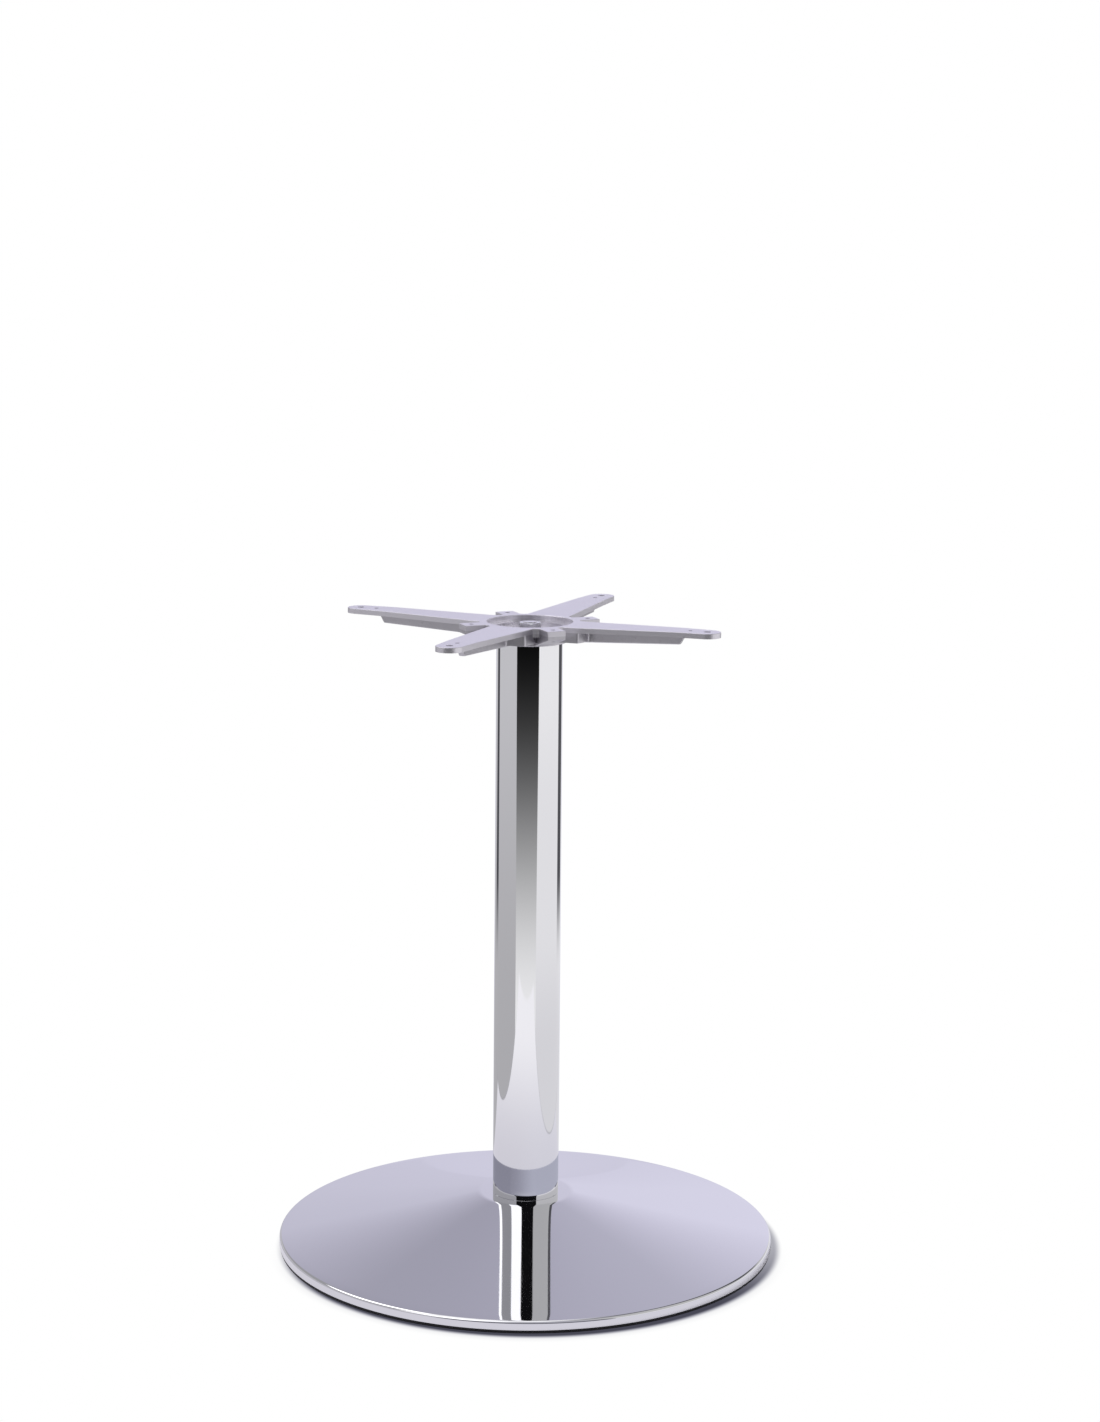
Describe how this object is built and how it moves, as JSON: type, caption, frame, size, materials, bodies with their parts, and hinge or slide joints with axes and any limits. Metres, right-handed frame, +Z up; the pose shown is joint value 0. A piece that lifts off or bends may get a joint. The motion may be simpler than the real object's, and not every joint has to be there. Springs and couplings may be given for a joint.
{
  "type": "dome table base",
  "caption": "Free-standing pedestal table base: chromed dome cover over an iron ballast, chromed round column and a cast aluminium spider for the table top.",
  "frame": {"origin": "on the floor, at the centre of the round base", "axes": "+Z up along the column; +X and +Y along two arms of the spider, the ears at 45 degrees between them"},
  "size_m": [0.57, 0.57, 0.73],
  "materials": {
    "cast_aluminium": "satin, as cast and shot blasted",
    "chrome": "polished chrome plate",
    "ballast_iron": "dark primer over as-cast iron",
    "black_plastic": "matt black moulding",
    "zinc_steel": "bright zinc plate"
  },
  "bodies": {
    "root": {"spider": "cast_aluminium", "column_tube": "chrome", "dome_cover": "chrome", "base_weight": "ballast_iron", "rim_ring": "black_plastic", "tie_rod": "zinc_steel", "top_nut": "zinc_steel", "top_washer": "zinc_steel", "bottom_washer": "zinc_steel", "bottom_spring_washer": "zinc_steel", "bottom_nut": "zinc_steel"}
  },
  "joints": []
}
